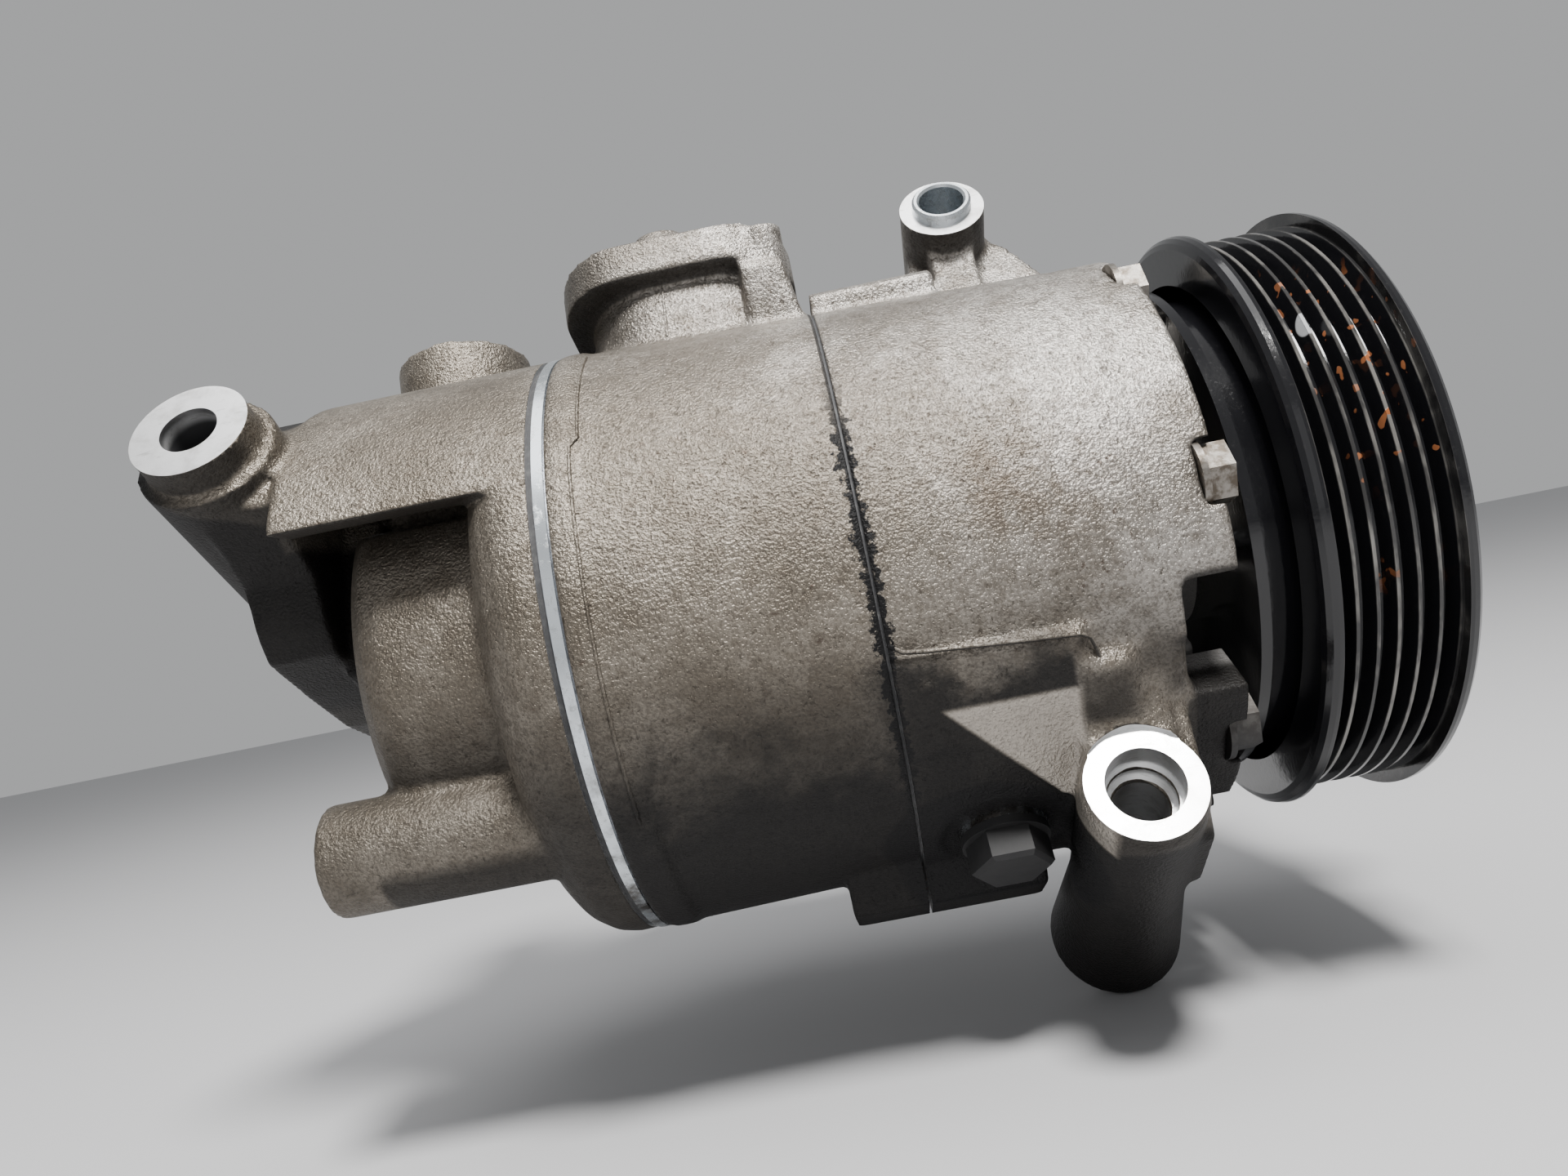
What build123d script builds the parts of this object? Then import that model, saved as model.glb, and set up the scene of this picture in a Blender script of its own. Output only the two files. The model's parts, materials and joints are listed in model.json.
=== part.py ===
from build123d import *
import os
from math import atan2, cos, degrees, radians, sin

# Axial piston compressor with a magnetic clutch, in millimetres.
# X is the shaft axis and points to the pulley, Z is up, and the origin is the middle of the belt grooves.
# Angles round the shaft count from +Y towards +Z.

# --- driving dimensions ---------------------------------------------------------------------------

RIB_PITCH = 3.56            # belt rib spacing
RIB_COUNT = 6
GROOVE_ROOT_R = 55.4
CREST_R = 58.5
FLANGE_R = 61.0
PULLEY_HALF = 13.6
RIM_BORE_R = 50.0
FRICTION_X = 8.0            # face that the armature is pulled against
AIR_GAP = 0.5

CYLINDERS = 7
PISTON_R = 13.45
BORE_R = 13.5
PISTON_CIRCLE_R = 37.0
FIRST_BOLT = 120.0          # angle of the first through bolt, and of top dead centre
STEP = 360 / CYLINDERS
BOLT_CIRCLE_R = 54.0
BOLT_R = 3.0
BOLT_HOLE_R = 3.25

FRONT_X = -29.5             # bolt seats on the front housing
SEAM_X = -87.0              # front housing to cylinder block
PLATE_FRONT_X = -140.0      # cylinder block to valve plate
PLATE_REAR_X = -143.6       # valve plate to rear head
WALL_IN_X = -41.0           # inner face of the front wall
BORE_MOUTH_X = -98.0
CAVITY_R = 49.9
FRONT_R = 59.0              # outer radius at the front rim
REAR_R = 62.1               # outer radius at the valve plate

SHAFT_R = 9.0
SEAL_SHAFT_R = 8.0
NOSE_R = 17.5
SHOULDER_R = 20.0
RUN_GAP = 0.06

SWASH_X = -85.0             # mid-plane of the swash plate when it stands square to the shaft
SWASH_HALF = 3.5
SWASH_R = 44.5
SHOE_SPHERE_R = 8.5
SHOE_FLAT = SWASH_HALF + 0.22
SOCKET_R = 8.6
SOCKET_HALF = 11.0

EAR_ANGLE = 36.0            # tilt of the mounting bolts above the horizontal
EAR_BORE_R = 5.0

# --- frames ---------------------------------------------------------------------------------------

EAR_COS = cos(radians(EAR_ANGLE))
EAR_SIN = sin(radians(EAR_ANGLE))
# sketch x runs along the shaft, sketch y across the bolts, and the normal along the bolts
EARS = Plane(origin=(0, 0, 0), x_dir=(1, 0, 0), z_dir=(0, -EAR_COS, EAR_SIN))
# sketch x runs across the bolts, sketch y along them, and the normal along the shaft
EAR_SIDE = Plane(origin=(0, 0, 0), x_dir=(0, EAR_SIN, EAR_COS), z_dir=(1, 0, 0))

REAR_EAR = (-204.9, 15.7, 70.0)      # along the shaft, across the bolts, height of the face
LOWER_EAR = (-49.0, -68.0, 24.0)
TOP_EAR = (-53.0, 70.0, 42.5)

PORT_TILT = 20.0                     # the port face leans back from the top
PORTS = Plane(
    origin=(-114.5, 3, 67), x_dir=(1, 0, 0), z_dir=(0, sin(radians(PORT_TILT)), cos(radians(PORT_TILT)))
)


def angle_of(number):
    """Angle of a cylinder, half a step past its bolt."""
    return FIRST_BOLT + (number + 0.5) * STEP


def radial_frame(angle, radius):
    """Plane square to the shaft at a place round it: sketch x points outwards."""
    out = (0, cos(radians(angle)), sin(radians(angle)))
    return Plane(origin=(0, radius * out[1], radius * out[2]), x_dir=out, z_dir=(1, 0, 0))


def spoke_frame(x, angle, radius):
    """Plane whose normal points outwards from the shaft."""
    out = (0, cos(radians(angle)), sin(radians(angle)))
    return Plane(origin=(x, radius * out[1], radius * out[2]), x_dir=(1, 0, 0), z_dir=out)


TDC = radial_frame(FIRST_BOLT, 0)    # sketch x points to top dead centre


# --- building blocks ------------------------------------------------------------------------------


def turned(points, mode=Mode.ADD):
    """Revolve a closed outline of (x, radius) points about the shaft axis."""
    with BuildSketch(Plane.XZ) as outline:
        with BuildLine():
            Polyline(*points, close=True)
        make_face()
    revolve(outline.sketch, axis=Axis.X, mode=mode)


def disc(x_low, x_high, outer, inner=0.0, mode=Mode.ADD):
    """A plain ring or disc about the shaft axis."""
    with BuildSketch(Plane.YZ.offset(x_low)) as ring:
        Circle(outer)
        if inner:
            Circle(inner, mode=Mode.SUBTRACT)
    extrude(ring.sketch, amount=x_high - x_low, mode=mode)


def rod(plane, low, high, radius, at=(0, 0), mode=Mode.ADD):
    """A round bar or hole along a plane's normal, between two heights."""
    with BuildSketch(plane.offset(low)) as section:
        with Locations(at):
            Circle(radius)
    extrude(section.sketch, amount=high - low, mode=mode)


def bolt_circle(x_low, x_high, radius, mode=Mode.ADD, limit=None):
    """Seven round bars or holes on the bolt circle, cut back to a limit radius if one is given."""
    with BuildSketch(Plane.YZ.offset(x_low)) as circles:
        with PolarLocations(BOLT_CIRCLE_R, CYLINDERS, start_angle=FIRST_BOLT):
            Circle(radius)
        if limit:
            Circle(limit, mode=Mode.INTERSECT)
    extrude(circles.sketch, amount=x_high - x_low, mode=mode)


def prism(plane, low, high, points, mode=Mode.ADD):
    """A straight-sided block with the given outline on a plane."""
    with BuildSketch(plane.offset(low)) as outline:
        with BuildLine():
            Polyline(*points, close=True)
        make_face()
    extrude(outline.sketch, amount=high - low, mode=mode)


def coil_spring(plane, low, high, radius, wire, turns):
    """A round-wire compression spring along a plane's normal."""
    pitch = (high - low - wire) / turns
    path = Helix(pitch=pitch, height=pitch * turns, radius=radius)
    path = plane.offset(low + wire / 2) * path
    with BuildPart() as spring:
        with BuildSketch(Plane(origin=path @ 0, z_dir=path % 0)):
            Circle(wire / 2)
        sweep(path=path, is_frenet=True)
    return spring.part


written = []


def save(solid, name):
    """Label one finished piece and write it under its node's name."""
    solid.label = name
    export_step(solid, f"parts/{name}.step")
    written.append(name)


os.makedirs("parts", exist_ok=True)

# --- front housing --------------------------------------------------------------------------------

LOWER_FOOT = -51.5          # far end of the lower ear's sleeve
LOWER_ROUND = -46.5         # its rounded end reaches this far back
LOWER_NECK = -16.0          # where its taper ends
TOP_FOOT = 19.0             # far end of the top ear
BUSH_OUT = 2.4              # the bush stands this far out of the top ear
BUSH_R = 6.6
CROWN_X = -26.0             # front edge of the wall that shields the bolt heads
NOTCH_X = -36.0             # floor of the gaps in that wall
NOTCHES = ((42.9, 22), (94, 12), (199, 21), (248, 12), (300, 12), (351, 12))    # angle, width
SLEEVE_R = 10.9
PAD_R = 61.6
MOUTH_R = (6.75, 6.0)       # stepped mouth of the lower ear
MOUTH_DEPTH = (6.0, 9.0)
DRAIN_X = -71.5
DRAIN_ANGLE = 233.5
DRAIN_SEAT = 60.6
DRAIN_THREAD_R = 5.0
DRAIN_FRAME = spoke_frame(DRAIN_X, DRAIN_ANGLE, 0)
SKIRT = [(-30, -50), (-26, -63), (-12, -68.8), (16, -68.8), (22, -52)]      # bottom pad, seen endways
SKIRT_REAR_X = -102.6
SKIRT_FRONT_X = -63.5


def front_shell():
    """The turned outside of the front housing, with the nose that carries the pulley bearing."""
    turned(
        [
            (SEAM_X, 0), (SEAM_X, 60.6), (-39, FRONT_R + 0.2), (NOTCH_X, FRONT_R - 0.5),
            (NOTCH_X, 46), (-30.5, 44), (-30.5, SHOULDER_R), (-16, SHOULDER_R), (-16, NOSE_R),
            (6, NOSE_R), (6, 0),
        ]
    )
    disc(NOTCH_X - 4, CROWN_X, FRONT_R, 46.5)
    for angle, width in NOTCHES:
        reach = 80 * sin(radians(width / 2))
        wedge = [(0, 0), (80, -reach), (80, reach)]
        prism(radial_frame(angle, 0), NOTCH_X, CROWN_X, wedge, Mode.SUBTRACT)
    bolt_circle(NOTCH_X - 12, FRONT_X, 8.2, limit=FRONT_R)


def lower_ear():
    """Long tapered sleeve below the housing, with a rounded end."""
    x, across, face = LOWER_EAR
    with Locations(EARS.offset(LOWER_ROUND).location * Location((x, across, 0))):
        Cone(13.6, SLEEVE_R + 0.1, LOWER_NECK - LOWER_ROUND, align=(Align.CENTER, Align.CENTER, Align.MIN))
    with Locations(EARS.offset(LOWER_FOOT).location * Location((x, across, 0))):
        Cone(9.6, 13.5, LOWER_ROUND - LOWER_FOOT, align=(Align.CENTER, Align.CENTER, Align.MIN))
    rod(EARS, LOWER_NECK, face - 2, SLEEVE_R, (x, across))
    rod(EARS, face - 2, face, 10.3, (x, across))


def lower_ear_ribs():
    """Column above the lower ear, the flat triangle beside it and the web along the sleeve."""
    column = [(-64, -20), (-75, 15), (-66, 21), (-58, 25), (-50, 31), (-44, 30), (-40, 20), (-54, -20)]
    prism(EAR_SIDE, -57, -41, column)
    web = [(-56, -36), (-66, -30), (-75, -6), (-75, 12), (-64, 21), (-54, 25), (-46, 22)]
    prism(EAR_SIDE, -42, -37.6, web)
    triangle = Plane(origin=(-60, -56, -23), x_dir=(1, 0, 0), z_dir=(0, -0.909, -0.417))
    prism(triangle, -14, 1.2, [(-19.5, 0), (5, 0.6), (5, -22), (-1, -21)])


def top_ear():
    """Bushed ear above the housing, on a web and two gussets."""
    x, across, face = TOP_EAR
    rod(EARS, TOP_FOOT, face, 9.5, (x, across))
    web = [(48, 10), (48, 36), (58, 36), (62, face - 4), (74, face - 4), (74, 22), (58, 8)]
    prism(EAR_SIDE, x - 5, x + 5, web)
    gussets = [
        (x - 6, 76), (x + 6, 76), (x + 14, 66), (-34, 56), (-34, 50), (-76, 50), (-76, 55), (x - 10, 64),
    ]
    prism(EARS, 22, 31, gussets)
    prism(Plane.YZ, SEAM_X + 0.3, -60, [(-9, 50), (-9, 64), (-5, 65.5), (14, 64), (18, 50)])


def drain_pad():
    """Raised pads and skirt round the drain plug, below the parting edge."""
    for x_low, x_high, top, radius in ((SEAM_X, -54, -13, PAD_R), (-55, -46, -19, PAD_R + 0.5)):
        with BuildSketch(Plane.YZ.offset(x_low)) as pad:
            Circle(radius)
            with BuildLine():
                Polyline((-70, top), (0, top), (0, -45), (34, -70), (-70, -70), close=True)
            make_face(mode=Mode.INTERSECT)
            Circle(PAD_R - 8, mode=Mode.SUBTRACT)
        extrude(pad.sketch, amount=x_high - x_low)
    prism(Plane.YZ, SEAM_X, SKIRT_FRONT_X, SKIRT)
    rod(DRAIN_FRAME, 52, DRAIN_SEAT, 13)


with BuildPart() as front_housing:
    front_shell()
    lower_ear()
    lower_ear_ribs()
    top_ear()
    drain_pad()
    disc(SEAM_X, WALL_IN_X, CAVITY_R, mode=Mode.SUBTRACT)
    turned(
        [
            (WALL_IN_X - 1, 0), (WALL_IN_X - 1, 13), (-25, 13), (-25, 11), (-21, 11), (-21, 14),
            (7, 14), (7, 0),
        ],
        mode=Mode.SUBTRACT,
    )
    disc(-10.6, -8.9, 15.1, mode=Mode.SUBTRACT)
    disc(4.2, 5.5, NOSE_R + 1, 16.4, mode=Mode.SUBTRACT)
    disc(-18.8, -17.4, SHOULDER_R + 1, 18.9, mode=Mode.SUBTRACT)
    bolt_circle(SEAM_X, FRONT_X, BOLT_HOLE_R, mode=Mode.SUBTRACT)
    bolt_circle(FRONT_X, FRONT_X + 9, 7.2, mode=Mode.SUBTRACT)
    rod(EARS, LOWER_FOOT, LOWER_EAR[2], EAR_BORE_R, LOWER_EAR[:2], mode=Mode.SUBTRACT)
    for radius, depth in zip(MOUTH_R, MOUTH_DEPTH):
        rod(EARS, LOWER_EAR[2] - depth, LOWER_EAR[2], radius, LOWER_EAR[:2], mode=Mode.SUBTRACT)
    rod(EARS, LOWER_EAR[2], LOWER_EAR[2] + 20, 10.6, LOWER_EAR[:2], mode=Mode.SUBTRACT)
    rod(EARS, TOP_FOOT, TOP_EAR[2], BUSH_R, TOP_EAR[:2], mode=Mode.SUBTRACT)
    rod(DRAIN_FRAME, 40, 64, DRAIN_THREAD_R, mode=Mode.SUBTRACT)
    rod(DRAIN_FRAME, DRAIN_SEAT, 74, 12, mode=Mode.SUBTRACT)
save(front_housing.part, "front_housing")

# --- cylinder block -------------------------------------------------------------------------------

BLOCK_REAR_R = REAR_R
GASKET_T = 0.5
BLOCK_FRONT_X = SEAM_X - GASKET_T
PORT_FACE = 9.0             # height of the port face above the flange's underside
SUCTION_R = 9.0
DISCHARGE_R = 7.0
SUCTION_AT = 11.0           # along the shaft from the middle of the flange
DISCHARGE_AT = -13.0
PORT_DEPTH = 16.0
STUD_R = 3.4
STUD_DEPTH = 14.0
HUB_BORE_R = 12.0
RELIEF_FACE_R = 68.0
RELIEF = spoke_frame(-114, FIRST_BOLT - 1.5 * STEP, RELIEF_FACE_R)


def manifold():
    """Neck and leaning oval flange on top of the cylinder block, with a plugged boss beside them."""
    with BuildSketch(PORTS.offset(-20)) as neck:
        with Locations((1, 1)):
            SlotOverall(44, 34)
    extrude(neck.sketch, amount=21)
    prism(Plane.XZ, -13, 16, [(-100, 50), (-100, 72), (-91, 72), (-88.5, 58), (-88.5, 50)])
    with BuildSketch(PORTS) as flange:
        RectangleRounded(51, 41, 16)
    extrude(flange.sketch, amount=PORT_FACE)
    rod(PORTS, PORT_FACE - 1, PORT_FACE + 2.6, 6.5, (-1.5, -13))
    rod(Plane.XY, 60, 80.5, 4.6, (-94.5, -9))


def casting_steps():
    """Low band beside the valve plate, and the short pad on it."""
    disc(PLATE_FRONT_X + 0.4, PLATE_FRONT_X + 4.6, BLOCK_REAR_R + 0.5, 55)
    with BuildSketch(Plane.YZ.offset(PLATE_FRONT_X + 0.4)) as pad:
        Circle(BLOCK_REAR_R + 0.9)
        with BuildLine():
            Polyline((-70, -36), (-40, -30), (-20, -70), (-70, -70), close=True)
        make_face(mode=Mode.INTERSECT)
        Circle(55, mode=Mode.SUBTRACT)
    extrude(pad.sketch, amount=6.4)


with BuildPart() as cylinder_block:
    turned(
        [
            (PLATE_FRONT_X, 0), (PLATE_FRONT_X, BLOCK_REAR_R - 0.5), (PLATE_FRONT_X + 0.5, BLOCK_REAR_R),
            (BLOCK_FRONT_X - 0.6, 60.6), (BLOCK_FRONT_X, 60), (BLOCK_FRONT_X, 0),
        ]
    )
    casting_steps()
    manifold()
    prism(Plane.YZ, SKIRT_REAR_X, BLOCK_FRONT_X, SKIRT)
    rod(RELIEF, -14, 0, 9.0)
    disc(BORE_MOUTH_X, SEAM_X, CAVITY_R, mode=Mode.SUBTRACT)
    for number in range(CYLINDERS):
        rod(radial_frame(angle_of(number), PISTON_CIRCLE_R), PLATE_FRONT_X, -80, BORE_R, mode=Mode.SUBTRACT)
    disc(PLATE_FRONT_X, -80, HUB_BORE_R, mode=Mode.SUBTRACT)
    disc(BORE_MOUTH_X - 8, BORE_MOUTH_X, 14.5, mode=Mode.SUBTRACT)
    bolt_circle(PLATE_FRONT_X, SEAM_X, BOLT_HOLE_R, mode=Mode.SUBTRACT)
    rod(PORTS, PORT_FACE - PORT_DEPTH, PORT_FACE, SUCTION_R, (SUCTION_AT, 0), mode=Mode.SUBTRACT)
    rod(PORTS, PORT_FACE - PORT_DEPTH, PORT_FACE, DISCHARGE_R, (DISCHARGE_AT, 0), mode=Mode.SUBTRACT)
    rod(PORTS, PORT_FACE - STUD_DEPTH, PORT_FACE, STUD_R, (-1.5, 11.5), mode=Mode.SUBTRACT)
    rod(RELIEF, -12, 0, 5.0, mode=Mode.SUBTRACT)
save(cylinder_block.part, "cylinder_block")

# --- valve plate, reeds and gaskets ---------------------------------------------------------------

REED_T = 0.4
RETAINER_T = 0.8


def plate_holes(low, high, suction, discharge):
    """Bolt holes and the suction and discharge holes of every cylinder."""
    bolt_circle(low, high, BOLT_HOLE_R, mode=Mode.SUBTRACT)
    for number in range(CYLINDERS):
        if suction:
            rod(radial_frame(angle_of(number), PISTON_CIRCLE_R + 6), low, high, suction, mode=Mode.SUBTRACT)
        if discharge:
            rod(radial_frame(angle_of(number), PISTON_CIRCLE_R - 6), low, high, discharge, mode=Mode.SUBTRACT)


def reed_slots(low, high, radius):
    """C-shaped cuts that leave one springy tongue over each hole."""
    for number in range(CYLINDERS):
        with BuildSketch(radial_frame(angle_of(number), PISTON_CIRCLE_R).offset(low)) as cut:
            with BuildLine():
                RadiusArc((radius, 4), (radius, -4), 4.6)
                Line((radius, -4), (radius - 1, -3.2))
                RadiusArc((radius - 1, -3.2), (radius - 1, 3.2), -3.6)
                Line((radius - 1, 3.2), (radius, 4))
            make_face()
        extrude(cut.sketch, amount=high - low, mode=Mode.SUBTRACT)


with BuildPart() as suction_reed_plate:
    disc(PLATE_FRONT_X - REED_T, PLATE_FRONT_X, 61.0, 5)
    plate_holes(PLATE_FRONT_X - REED_T, PLATE_FRONT_X, 0, 3.0)
    reed_slots(PLATE_FRONT_X - REED_T, PLATE_FRONT_X, 9)
save(suction_reed_plate.part, "suction_reed_plate")

with BuildPart() as valve_plate:
    disc(PLATE_REAR_X + REED_T + RETAINER_T, PLATE_FRONT_X - REED_T, REAR_R + 0.1, 5)
    plate_holes(PLATE_REAR_X, PLATE_FRONT_X, 3.4, 2.6)
save(valve_plate.part, "valve_plate")

with BuildPart() as discharge_reed_plate:
    disc(PLATE_REAR_X + RETAINER_T, PLATE_REAR_X + REED_T + RETAINER_T, 61.0, 5)
    plate_holes(PLATE_REAR_X, PLATE_FRONT_X, 4.0, 0)
    reed_slots(PLATE_REAR_X, PLATE_FRONT_X, -5)
save(discharge_reed_plate.part, "discharge_reed_plate")

with BuildPart() as retainer_gasket:
    disc(PLATE_REAR_X, PLATE_REAR_X + RETAINER_T, 61.2, 8)
    plate_holes(PLATE_REAR_X, PLATE_FRONT_X, 4.2, 3.6)
save(retainer_gasket.part, "retainer_gasket")

with BuildPart() as body_gasket:
    disc(SEAM_X - GASKET_T, SEAM_X, 60.0, CAVITY_R)
    bolt_circle(SEAM_X - GASKET_T, SEAM_X, BOLT_HOLE_R, mode=Mode.SUBTRACT)
save(body_gasket.part, "body_gasket")

# --- rear head ------------------------------------------------------------------------------------

HEAD_WALL_X = -157.5        # end of the bulged rim
DOME_END_X = -186.5
DOME_R = 47.0
SHELF_END_X = -192.0
SHELF_IN_R = 53.5
SHELF_EDGE = 30.5           # height of its lower edge
VALVE_BOSS_Y = -38.0
VALVE_BOSS_Z = -31.0
VALVE_BOSS_END_X = -197.0
VALVE_R = 7.0
CONTROL = Plane(origin=(0, VALVE_BOSS_Y, VALVE_BOSS_Z), x_dir=(0, 1, 0), z_dir=(1, 0, 0))
WALL_REAR_X = -207.0
WALL_FRONT_X = -192.5
REAR_FOOT = 22.0            # far end of the rear ear's sleeve
REAR_BORE_R = 5.5
CHAMBER_END_X = -156.0
PLUG_BOSS = Plane(origin=(-173, 10, 0), x_dir=(1, 0, 0), z_dir=(0, 0.26, 0.97))
PLUG_BOSS_TOP = 76.0
PLUG_BOSS_R = 16.0


def dome():
    """Bulged rim, then the narrower domed chamber with a rounded end."""
    turned(
        [
            (PLATE_REAR_X, 0), (PLATE_REAR_X, REAR_R - 0.3), (-147, REAR_R), (-150.5, 61.4), (-154, 59.2),
            (-156.5, 55.8), (HEAD_WALL_X, 52), (HEAD_WALL_X - 0.6, DOME_R + 1), (-160, DOME_R),
            (-179, DOME_R - 0.8), (-182.5, DOME_R - 2.4), (-185.4, DOME_R - 6), (DOME_END_X, DOME_R - 11),
            (DOME_END_X, 0),
        ]
    )
    hollow = [(-62, SHELF_EDGE - 1), (-12, SHELF_EDGE - 1), (-12, 50), (-62, 50)]
    prism(Plane.YZ, DOME_END_X - 1, HEAD_WALL_X - 1.5, hollow, Mode.SUBTRACT)


def shelf():
    """Part of the outer shell that runs on to the rear over the dome."""
    with BuildSketch(Plane.YZ.offset(SHELF_END_X)) as band:
        Circle(REAR_R)
        with BuildLine():
            Polyline((-80, SHELF_EDGE), (10, SHELF_EDGE), (38, 85), (-80, 85), close=True)
        make_face(mode=Mode.INTERSECT)
        Circle(SHELF_IN_R, mode=Mode.SUBTRACT)
    extrude(band.sketch, amount=PLATE_REAR_X - SHELF_END_X)
    prism(Plane.YZ, DOME_END_X, HEAD_WALL_X, [(-18, 40), (-10, 40), (-10, 58), (-18, 58)])


def rear_ear():
    """Bored sleeve at the rear end, its collar, and the wall that ties it to the dome."""
    x, across, face = REAR_EAR
    rod(EARS, REAR_FOOT, face, 11.3, (x, across))
    with Locations(EARS.offset(REAR_FOOT).location * Location((x, across, 0))):
        Cone(12.4, 13.6, face - 6 - REAR_FOOT, align=(Align.CENTER, Align.CENTER, Align.MIN))
    wall = [
        (3, 60), (-1, 42), (-8, 35), (-11, 30), (-9, 14), (-6, -4), (0, -22), (16, -22), (34, 30), (37, 48),
        (26, 56), (18, 60),
    ]
    prism(EAR_SIDE, WALL_REAR_X, WALL_FRONT_X, wall)
    prism(EAR_SIDE, WALL_FRONT_X - 1, DOME_END_X + 2, [(-13, 24), (-12, -26), (16, -26), (20, 34)])


with BuildPart() as rear_head:
    dome()
    shelf()
    rear_ear()
    rod(CONTROL, VALVE_BOSS_END_X, -147, 10.8)
    rod(PLUG_BOSS, 40, PLUG_BOSS_TOP, PLUG_BOSS_R)
    disc(PLATE_REAR_X - 26, PLATE_REAR_X, 20, mode=Mode.SUBTRACT)
    disc(CHAMBER_END_X, PLATE_REAR_X, 43, 24, mode=Mode.SUBTRACT)
    rod(CONTROL, VALVE_BOSS_END_X, -160, VALVE_R, mode=Mode.SUBTRACT)
    bolt_circle(PLATE_REAR_X - 11, PLATE_REAR_X, BOLT_R - 0.3, mode=Mode.SUBTRACT)
    rod(EARS, REAR_FOOT, REAR_EAR[2], REAR_BORE_R, REAR_EAR[:2], mode=Mode.SUBTRACT)
save(rear_head.part, "rear_head")

# --- fasteners and plugs --------------------------------------------------------------------------

BOLT_TIP_X = PLATE_REAR_X - 10.5
BOLT_HEAD_H = 6.0
BOLT_HEAD_R = 5.8


def hexagon(plane, low, high, radius, at=(0, 0), mode=Mode.ADD):
    """A six-sided bar along a plane's normal; the radius reaches its corners."""
    with BuildSketch(plane.offset(low)) as section:
        with Locations(at):
            RegularPolygon(radius, 6)
    extrude(section.sketch, amount=high - low, mode=mode)


with BuildPart() as housing_bolts:
    bolt_circle(PLATE_REAR_X, FRONT_X + 1, BOLT_R)
    bolt_circle(BOLT_TIP_X, PLATE_REAR_X, BOLT_R - 0.3)
    for number in range(CYLINDERS):
        place = radial_frame(FIRST_BOLT + number * STEP, BOLT_CIRCLE_R)
        hexagon(place, FRONT_X, FRONT_X + BOLT_HEAD_H, BOLT_HEAD_R)
        rod(place, FRONT_X, FRONT_X + 1.2, BOLT_HEAD_R + 0.8)
save(housing_bolts.part, "housing_bolts")

WASHER_T = 1.4

with BuildPart() as drain_plug:
    rod(DRAIN_FRAME, 50.5, DRAIN_SEAT + WASHER_T, DRAIN_THREAD_R)
    rod(DRAIN_FRAME, DRAIN_SEAT + WASHER_T, DRAIN_SEAT + WASHER_T + 1.6, 8.4)
    hexagon(DRAIN_FRAME, DRAIN_SEAT + WASHER_T + 1.6, DRAIN_SEAT + WASHER_T + 7.5, 7.8)
    chamfer(drain_plug.faces().sort_by(Axis((0, 0, 0), DRAIN_FRAME.z_dir))[-1].edges(), 0.8)
save(drain_plug.part, "drain_plug")

with BuildPart() as drain_plug_washer:
    rod(DRAIN_FRAME, DRAIN_SEAT, DRAIN_SEAT + WASHER_T, 8.4)
    rod(DRAIN_FRAME, DRAIN_SEAT, DRAIN_SEAT + WASHER_T, DRAIN_THREAD_R, mode=Mode.SUBTRACT)
save(drain_plug_washer.part, "drain_plug_washer")

with BuildPart() as top_ear_bush:
    rod(EARS, TOP_FOOT, TOP_EAR[2] + BUSH_OUT, BUSH_R, TOP_EAR[:2])
    rod(EARS, TOP_FOOT, TOP_EAR[2] + BUSH_OUT, EAR_BORE_R, TOP_EAR[:2], mode=Mode.SUBTRACT)
    chamfer(top_ear_bush.faces().sort_by(Axis((0, 0, 0), EARS.z_dir))[-1].edges(), 0.5)
save(top_ear_bush.part, "top_ear_bush")

# --- relief valve ---------------------------------------------------------------------------------

RELIEF_LIFT = 1.5

with BuildPart() as relief_valve_body:
    rod(RELIEF, -12, 0, 5.0)
    hexagon(RELIEF, 0, 6, 7.5)
    rod(RELIEF, 6, 13, 5.6)
    rod(RELIEF, -12, 13, 2.0, mode=Mode.SUBTRACT)
    rod(RELIEF, -8, 11, 3.6, mode=Mode.SUBTRACT)
save(relief_valve_body.part, "relief_valve_body")

with BuildPart() as relief_valve_poppet:
    rod(RELIEF, -8, -5.5, 3.5)
    rod(RELIEF, -5.5, 9, 1.7)
save(relief_valve_poppet.part, "relief_valve_poppet")

save(coil_spring(RELIEF, -3.6, 11, 2.7, 0.7, 8), "relief_valve_spring")

# --- control valve --------------------------------------------------------------------------------

CONTROL_END_X = VALVE_BOSS_END_X + 2.4
CONTROL_LIFT = 1.2

with BuildPart() as control_valve_body:
    rod(CONTROL, CONTROL_END_X, -160.5, VALVE_R)
    for x in (-192, -182, -172):
        with BuildSketch(CONTROL.offset(x)) as groove:
            Circle(VALVE_R + 1)
            Circle(VALVE_R - 1, mode=Mode.SUBTRACT)
        extrude(groove.sketch, amount=2, mode=Mode.SUBTRACT)
    rod(CONTROL, -190, -160.5, 2.2, mode=Mode.SUBTRACT)
save(control_valve_body.part, "control_valve_body")

with BuildPart() as control_valve_plunger:
    rod(CONTROL, -188, -163, 2.14)
save(control_valve_plunger.part, "control_valve_plunger")

with BuildPart() as control_valve_clip:
    rod(CONTROL, CONTROL_END_X - 1.1, CONTROL_END_X, VALVE_R)
    rod(CONTROL, CONTROL_END_X - 1.1, CONTROL_END_X, VALVE_R - 1.8, mode=Mode.SUBTRACT)
save(control_valve_clip.part, "control_valve_clip")

# --- field coil -----------------------------------------------------------------------------------

COIL_PLATE_X = -21.0
COIL_OUT_R = 48.0
COIL_IN_R = 33.0
COIL_WALL = 2.0
COIL_FRONT_X = 1.0
CONNECTOR_ANGLE = FIRST_BOLT + (CYLINDERS - 1.5) * STEP

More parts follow.
